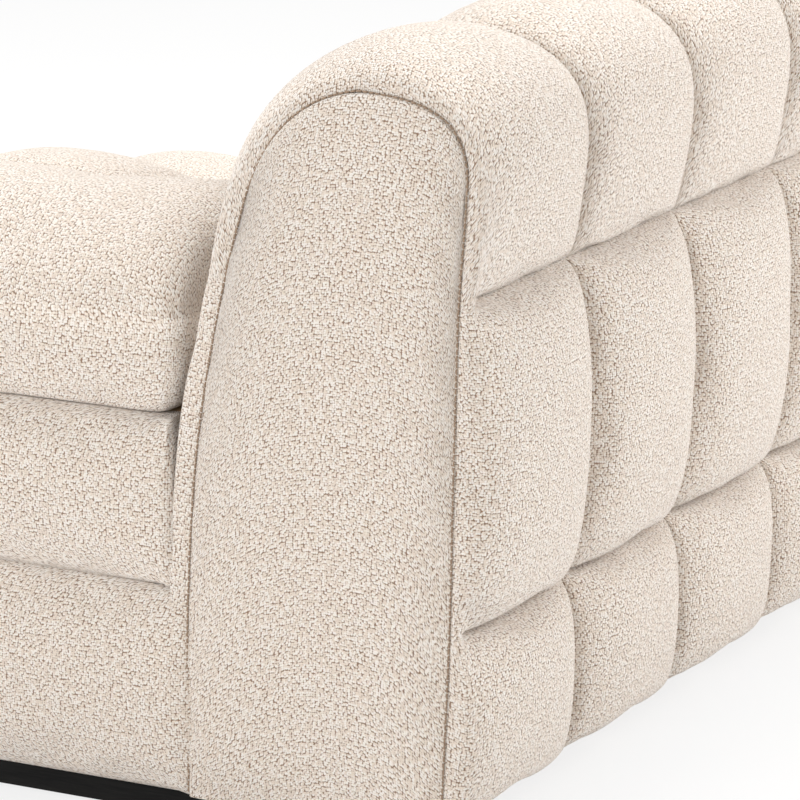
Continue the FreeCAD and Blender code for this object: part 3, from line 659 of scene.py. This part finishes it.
def arm_sewn(x, y, z):
    rim = min(x - arm_low[0], arm_high[0] - x, y - arm_low[1], arm_high[1] - y) < SAME_CUT
    along = abs(x - ARM_TUFT_X) < SAME_CUT and y < ARM_TUFT_YS[0] + SAME_CUT
    cross = x < ARM_TUFT_X + SAME_CUT and min(abs(y - tuft) for tuft in ARM_TUFT_YS) < SAME_CUT
    return z < 1e-6 or on_top(z, ARM_BOXING) and (rim or along or cross)


arm_cushion = boxed_cushion("arm_cushion_cover", arm_xs, arm_ys, ARM_BOXING, arm_place, arm_sewn,
                            (0.342, -0.16, 0.44))
swell(arm_cushion, 2.5, 0.012)
upholstered(arm_cushion, "frame", 0.75, "arm_cushion")

# Back cover: one boucle cover over foam and wadding, from the hem at the rear over the top to the seat.
# Four rows of five chambers are stitched down between them, both ends roll over to the end panels,
# and the hem is stapled under the bottom board.
BACK_OUTLINE = ((444.4, 35), (445.2, 52), (452.9, 221), (456.5, 367), (461, 513), (467.5, 600),
                (467.6, 640), (454.8, 668.2), (434, 682), (414.4, 688), (387, 691.6), (359.4, 692),
                (318, 676.5), (283.5, 646), (261, 606), (247.4, 565), (233.7, 513.9), (218.5, 445),
                (206.6, 376.4), (198.5, 300), (194.4, 232), (192.6, 184), (192.4, 110), (192.4, 35))
ROW_ENDS = (1, 2, 4, 16, 20)
ROW_CUTS = (16, 26, 46, 22)
ROW_BULGE = (0.039, 0.046, 0.038, 0.024)
ROLL_REAR_BULGE = 0.022
COLUMN_PITCH = 0.228
COLUMNS = 5
END_X = 0.569
END_SEAM_X = 0.565
END_ROLL = 0.0135
FRONT_ROLL = 0.008
FRONT_ROLL_FADE = 0.2
END_ROUND = 0.0115
END_FADE = 0.006
END_LOOSE = 0.004
SEAM_PULL = 0.009
SEAM_PULL_FADE = 0.06
SEAM_ROUND = 0.003
BEHIND_ARM_SHARE = 0.35
COLUMN_CUTS = 22
OUTLINE_CUTS = 24
NORMAL_SPAN = 0.012
LOOSE_STAND = 0.004
HEM_TUCKS = (0.03, 0.015, 0.0)
HEM_TUCK_Y = 0.428
HEM_TUCK_Z = BASE_Z - 0.0015
FOOT_DROP = 0.06
FOOT_ENDS = (0.53, 0.55)


def back_curve():
    """The back's outline, given in millimetres of depth and height, as a smooth line:
    its samples, their lengths along it and the lengths at the given points."""
    spots = [Vector((y, z)) / 1000.0 for y, z in BACK_OUTLINE]
    line, marks = [], []
    for index in range(len(spots) - 1):
        before, here = spots[max(index - 1, 0)], spots[index]
        there, after = spots[index + 1], spots[min(index + 2, len(spots) - 1)]
        marks.append(len(line))
        span = (there - here).length
        leave = (there - before).normalized() * span
        reach = (after - here).normalized() * span
        for part in range(OUTLINE_CUTS):
            s = part / OUTLINE_CUTS
            line.append(here * (2 * s ** 3 - 3 * s * s + 1) + leave * (s ** 3 - 2 * s * s + s)
                        + there * (3 * s * s - 2 * s ** 3) + reach * (s ** 3 - s * s))
    marks.append(len(line))
    line.append(spots[-1])
    run = np.array([tuple(spot) for spot in line])
    lengths = np.concatenate([[0.0], np.cumsum(np.linalg.norm(np.diff(run, axis=0), axis=1))])
    return run, lengths, lengths[marks]


back_run, back_lengths, back_marks = back_curve()


def on_back(length):
    """Point and outward normal of the outline at a length along it."""

    def spot(at):
        return np.array([np.interp(at, back_lengths, back_run[:, axis]) for axis in range(2)])

    along = spot(length + NORMAL_SPAN) - spot(length - NORMAL_SPAN)
    along /= np.linalg.norm(along)
    return spot(length), np.array([along[1], -along[0]])


row_stops = [back_marks[mark] for mark in ROW_ENDS]
back_along = [row_stops[0] - tuck for tuck in HEM_TUCKS]
for row, cuts in enumerate(ROW_CUTS):
    low, high = row_stops[row], row_stops[row + 1]
    back_along.extend(low + (high - low) * share for share in eased(cuts, 0.85)[1:])
column_stops = [-END_X, *[(i - COLUMNS / 2) * COLUMN_PITCH for i in range(1, COLUMNS)], END_X]
back_across = [-END_X]
for low, high in zip(column_stops, column_stops[1:]):
    back_across.extend(low + (high - low) * share for share in eased(COLUMN_CUTS, 0.85)[1:])


def column_share(x):
    """How full the cover is across a column, and which column it is."""
    column = min(COLUMNS - 1, max(0, sum(stop < x for stop in column_stops[1:-1])))
    low, high = column_stops[column], column_stops[column + 1]
    share = min(1.0, max(0.0, (x - low) / (high - low)))
    return full(share, 2.5, 0.36), column


def back_bulge(x, length):
    """How far the cover stands off the outline: a pillow in each chamber, less full behind the arm,
    and a rolled edge at both ends."""
    row = min(3, max(0, sum(stop < length - 1e-9 for stop in row_stops[1:-1])))
    low, high = row_stops[row], row_stops[row + 1]
    share = min(1.0, max(0.0, (length - low) / (high - low)))
    level, column = column_share(x)
    height = ROW_BULGE[row]
    if row == 2:
        height = ROLL_REAR_BULGE + (ROW_BULGE[2] - ROLL_REAR_BULGE) * smooth(0.12, 0.5, share)
        level *= full(share, 5.5, 0.34)
    else:
        level *= full(share, 2.7, 0.34)
    if row == 3 and column >= COLUMNS - 2:
        height *= BEHIND_ARM_SHARE
    pull = SEAM_PULL * smooth(row_stops[0], row_stops[0] + SEAM_PULL_FADE, length)
    pillow = (height + pull) * level - pull
    beyond = abs(x) - (END_X - END_ROUND)
    roll = END_ROLL + FRONT_ROLL * smooth(row_stops[3] - FRONT_ROLL_FADE, row_stops[3], length)
    edge = roll * math.sqrt(max(0.0, 1.0 - (max(0.0, beyond) / END_ROUND) ** 2))
    edge -= (roll + pull) * (1.0 - smooth(-END_FADE, 0.0, beyond))
    return (pillow + edge + math.hypot(pillow - edge, SEAM_ROUND)) / 2


def back_place(x, length):
    """A point of the cover: on the outline, stood off by its filling, or tucked in under the hem."""
    hem, lap, foot = row_stops[0], row_stops[3], row_stops[4]
    if length > lap:
        low_foot = foot + FOOT_DROP * smooth(*FOOT_ENDS, abs(x))
        length = lap + (length - lap) * (low_foot - lap) / (foot - lap)
    (y, z), (out_y, out_z) = on_back(max(length, hem))
    at_seam = abs(x) > END_X - 1e-6
    stand = 0.0 if at_seam else back_bulge(x, min(max(length, hem), foot))
    if stand > LOOSE_STAND:
        stand += uneven((x, y, z), 0.0022, 0.09)
    y += out_y * stand
    z += out_z * stand
    if length < hem - 1e-6:
        y = HEM_TUCK_Y
        z = HEM_TUCK_Z if length < hem - HEM_TUCKS[1] - 1e-6 else z - CLEARANCE
    return Vector((math.copysign(END_SEAM_X, x) if at_seam else x, y, z))


def cuts_at(cuts, stops):
    """Which cut lies at each stop."""
    return [min(range(len(cuts)), key=lambda i: abs(cuts[i] - stop)) for stop in stops]


channel_columns = cuts_at(back_across, column_stops[1:-1])
seam_rows = cuts_at(back_along, row_stops[1:-1])


def back_sewn(i, j):
    tucked = abs(back_across[i]) < END_X - END_ROUND - END_LOOSE
    edge = i in (0, len(back_across) - 1) or j <= 2 or j == len(back_along) - 1
    return edge or i in channel_columns or (j in seam_rows and tucked)


back_cover = grid_cover("back_cover", len(back_across) - 1, len(back_along) - 1,
                        lambda i, j: back_place(back_across[i], back_along[j]), back_sewn,
                        ((0, *channel_columns, len(back_across) - 1), (0, *seam_rows, len(back_along) - 1)),
                        (0.0, 0.34, 0.40))
swell(back_cover, 3.0, 0.010)
upholstered(back_cover, "frame", 0.8, "back_rear_low_row", "back_rear_middle_row", "back_top_roll",
            "back_front_row")

# End panels: a flat padded panel of boucle closes each end of the back.
# It is sewn in with one seam round its arch, and stitches show along the seam, coloured dark brown as painted
# shade along the seam line.
# The left one meets the next module of the sofa.
PANEL_SHOULDERS = (5, 15)
PANEL_DOME = 0.0045
PANEL_TUCK = 0.012
panel_rear = (back_marks[0], back_marks[PANEL_SHOULDERS[0]])
panel_front = (back_marks[-1], back_marks[PANEL_SHOULDERS[1]])


def panel_spot(u, v):
    """A point of the panel, u from front to rear and v from foot to top, drawn between its four sides."""
    left, _ = on_back(panel_front[0] + (panel_front[1] - panel_front[0]) * v)
    right, _ = on_back(panel_rear[0] + (panel_rear[1] - panel_rear[0]) * v)
    top, _ = on_back(panel_front[1] + (panel_rear[1] - panel_front[1]) * u)
    foot_front, _ = on_back(panel_front[0])
    foot_rear, _ = on_back(panel_rear[0])
    head_front, _ = on_back(panel_front[1])
    head_rear, _ = on_back(panel_rear[1])
    bottom = foot_front + (foot_rear - foot_front) * u
    corners = (foot_front * (1 - u) + foot_rear * u) * (1 - v) + (head_front * (1 - u) + head_rear * u) * v
    return left * (1 - u) + right * u + bottom * (1 - v) + top * v - corners


def end_panel(name, side, node):
    """A panel on one side, 1 for the right and -1 for the left. Its foot is tucked in under the frame."""
    us, vs = eased(28, 0.88), eased(60, 0.85)
    last_u, last_v = len(us) - 1, len(vs) - 1

    def place(i, j):
        y, z = panel_spot(us[i], vs[j])
        rise = full(us[i], 26.0, 0.5) * full(vs[j], 44.0, 0.5)
        x = END_SEAM_X + PANEL_DOME * rise
        if 0.05 < us[i] < 0.95 and 0.05 < vs[j] < 0.97:
            x += uneven((side, y, z), 0.0012, 0.12)
        if j == 0:
            x -= PANEL_TUCK
        return Vector((side * x, y, z))

    def sewn(i, j):
        return i in (0, last_u) or j in (0, 1, last_v)

    panel = grid_cover(name, last_u, last_v, place, sewn, ((0, last_u), (0, last_v)), (0.0, 0.32, 0.4))
    swell(panel, 1.0, 0.004)
    upholstered(panel, "frame", 0.5, node)


THREAD = 0.0009
THREAD_RISE = 0.0018
STITCH = 0.0046
STITCH_GAP = 0.0012
STITCH_SINK = 0.0012
SEAM_START = 0.004
SEAM_STOP = 0.006
# Painted shade: the stitches are real, but their dark brown colour stands for the shade in the seam.
seam_shade_thread = fibres("seam_shade_thread", (0.24, 0.165, 0.11), (0.42, 0.31, 0.22), 2600.0, 0.3)


def seam_thread(name, side):
    """The row of stitches that closes a panel's seam: short lengths of thread, sunk in at both ends, coloured
    dark brown as painted shade along the seam.
    """
    work = bmesh.new()
    bmesh.ops.create_cone(work, cap_ends=True, segments=6, radius1=THREAD, radius2=THREAD, depth=STITCH)
    for bend in (-STITCH / 6, STITCH / 6):
        bmesh.ops.bisect_plane(work, geom=work.verts[:] + work.edges[:] + work.faces[:],
                               plane_co=(0.0, 0.0, bend), plane_no=(0.0, 0.0, 1.0), dist=1e-6)
    straight = work.verts[:]
    pattern = straight + work.edges[:] + work.faces[:]
    start = back_marks[0] + SEAM_START
    while start < back_marks[-1] - SEAM_STOP:
        stitch = bmesh.ops.duplicate(work, geom=pattern)["geom"]
        for vertex in (part for part in stitch if isinstance(part, bmesh.types.BMVert)):
            across, out, along = vertex.co
            (y, z), (out_y, out_z) = on_back(start + STITCH / 2 + along)
            sink = STITCH_SINK if abs(along) > STITCH / 3 else 0.0
            x = side * (END_SEAM_X + THREAD_RISE - sink) + across
            vertex.co = (x, y + out_y * out, z + out_z * out)
        start += STITCH + STITCH_GAP
    bmesh.ops.delete(work, geom=straight, context="VERTS")
    bmesh.ops.recalc_face_normals(work, faces=work.faces)
    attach(made_up(name, work, seam_shade_thread), "frame")


end_panel("end_panel_right", 1.0, "back_end_panel_right")
end_panel("end_panel_left", -1.0, "back_end_panel_left")
seam_thread("end_seam_right", 1.0)
seam_thread("end_seam_left", -1.0)

# Seat cushion: a loose boxed cushion that lifts off the deck, stitched in three by three chambers.
# Its foam block is wrapped in fibre, and the boucle cover is closed along the rear.
SEAT_LOW = (-0.568, FRONT_Y)
SEAT_HIGH = (0.112, 0.16443)
SEAT_Z = 0.2273
SEAT_EDGE = 0.105
SEAT_CROWN = 0.053
SEAT_SEAM = 0.15
SEAT_SEAM_FADE = 0.06
seat_stops_x = [SEAT_LOW[0] + (SEAT_HIGH[0] - SEAT_LOW[0]) * i / 3 for i in range(4)]
seat_stops_y = [SEAT_LOW[1] + (SEAT_HIGH[1] - SEAT_LOW[1]) * i / 3 for i in range(4)]


def chamber(value, stops):
    """How full the cover is between two stitched lines."""
    index = min(len(stops) - 2, max(0, sum(stop < value - 1e-9 for stop in stops[1:])))
    return full((value - stops[index]) / (stops[index + 1] - stops[index]), 2.3, 0.6)


def seat_place(x, y, z):
    """A point of the block in the stuffed cushion."""
    draw = SEAM_DRAW * (1.0 - full(min(z / SEAT_EDGE, 0.9), 2.4, 0.5))
    spot = Vector((*drawn_plan(x, y, SEAT_LOW, SEAT_HIGH, PLAN_CORNER, draw), SEAT_Z + z))
    if on_top(z, SEAT_EDGE):
        inset = min(x - SEAT_LOW[0], SEAT_HIGH[0] - x, y - SEAT_LOW[1], SEAT_HIGH[1] - y)
        level = chamber(x, seat_stops_x) * chamber(y, seat_stops_y)
        seam = SEAT_SEAM * min(1.0, inset / SEAT_SEAM_FADE)
        spot.z += SEAT_CROWN * (seam + (1.0 - seam) * level)
        spot.z += uneven((x, y, 0.9), 0.002, 0.1) * level
    return spot


def seat_sewn(x, y, z):
    beside = min(abs(x - stop) for stop in seat_stops_x)
    before = min(abs(y - stop) for stop in seat_stops_y)
    return z < 1e-6 or on_top(z, SEAT_EDGE) and min(beside, before) < SAME_CUT


seat_cushion = boxed_cushion("seat_cushion_cover", stations(seat_stops_x, CUSHION_STEP),
                             stations(seat_stops_y, CUSHION_STEP), SEAT_EDGE, seat_place, seat_sewn,
                             (-0.228, -0.17, 0.29))
swell(seat_cushion, 2.5, 0.010)
upholstered(seat_cushion, "seat_cushion", 0.75, "seat_cushion")

# Studio: a white floor and white surround under large soft lamps, seen from behind the right corner
# with a long lens. The floor keeps the sofa's soft shadow.
CAMERA_PLACE = (4.035, 2.1955, 1.423)
CAMERA_YAW = 27.3
CAMERA_PITCH = 14.3
CAMERA_LENS = 212.0
FLOOR_GLOW = 0.8
AMBIENT = 0.45

camera_data = bpy.data.cameras.new("view")
camera_data.lens = CAMERA_LENS
camera_data.sensor_width = 36.0
camera_data.clip_end = 200.0
camera = bpy.data.objects.new("view", camera_data)
bpy.context.scene.collection.objects.link(camera)
pitch, yaw = math.radians(CAMERA_PITCH), math.radians(CAMERA_YAW)
gaze = Vector((-math.cos(pitch) * math.cos(yaw), -math.cos(pitch) * math.sin(yaw), -math.sin(pitch)))
camera.location = CAMERA_PLACE
camera.rotation_euler = gaze.to_track_quat("-Z", "Y").to_euler()
bpy.context.scene.camera = camera
bpy.context.scene.view_settings.view_transform = "Standard"


def looked_at(tree):
    """1 where the eye, a mirror or a glass sees a surface, 0 where it is only lit."""
    rays = Tone(tree, None)
    seen, shiny, through = [rays.node("ShaderNodeLightPath", {}, {}, name)
                            for name in ("Is Camera Ray", "Is Glossy Ray", "Is Transmission Ray")]
    return seen.maths("MAXIMUM", seen, shiny.maths("MAXIMUM", shiny, through))


floor_paint, floor_shader, _ = new_finish("floor_paint")
floor_shader.inputs["Base Color"].default_value = (0.86, 0.86, 0.86, 1.0)
floor_shader.inputs["Roughness"].default_value = 0.9
floor_shader.inputs["Specular IOR Level"].default_value = 0.1
floor_tree = floor_paint.node_tree
floor_lit = Tone(floor_tree, floor_shader.outputs[0])
floor_white = floor_lit.node("ShaderNodeEmission", {}, {"Color": (1.0, 1.0, 1.0, 1.0), "Strength": 1.0})
floor_mix = floor_lit.node("ShaderNodeMixShader", {},
                           {0: looked_at(floor_tree) * FLOOR_GLOW, 1: floor_lit, 2: floor_white})
floor_mix.feed(floor_tree.nodes["Material Output"], "Surface")
floor_work = bmesh.new()
bmesh.ops.create_grid(floor_work, x_segments=4, y_segments=4, size=40.0)
made_up("studio_floor", floor_work, floor_paint)

surround = bpy.data.worlds.new("surround")
surround.use_nodes = True
bpy.context.scene.world = surround
sky = surround.node_tree.nodes["Background"]
sky.inputs["Color"].default_value = (1.0, 1.0, 1.0, 1.0)
(looked_at(surround.node_tree) * (1.0 - AMBIENT) + AMBIENT).feed(sky, "Strength")


def soft_lamp(name, place, aim, size, power, colour):
    """A large soft box."""
    data = bpy.data.lights.new(name, "AREA")
    data.shape = "RECTANGLE"
    data.size = size[0]
    data.size_y = size[1]
    data.energy = power
    data.color = colour
    lamp = bpy.data.objects.new(name, data)
    bpy.context.scene.collection.objects.link(lamp)
    lamp.location = place
    lamp.rotation_euler = (Vector(aim) - Vector(place)).to_track_quat("-Z", "Y").to_euler()
    lamp.visible_camera = False


soft_lamp("overhead", (-0.6, -1.2, 4.2), (0.0, -0.1, 0.4), (3.0, 3.0), 176.0, (1.0, 0.985, 0.965))
soft_lamp("rear_side", (-2.0, 3.8, 2.6), (0.0, 0.3, 0.4), (2.2, 2.2), 182.0, (1.0, 0.985, 0.97))
soft_lamp("end_side", (4.6, -1.0, 2.2), (0.4, 0.1, 0.4), (2.2, 2.2), 114.0, (1.0, 0.985, 0.97))
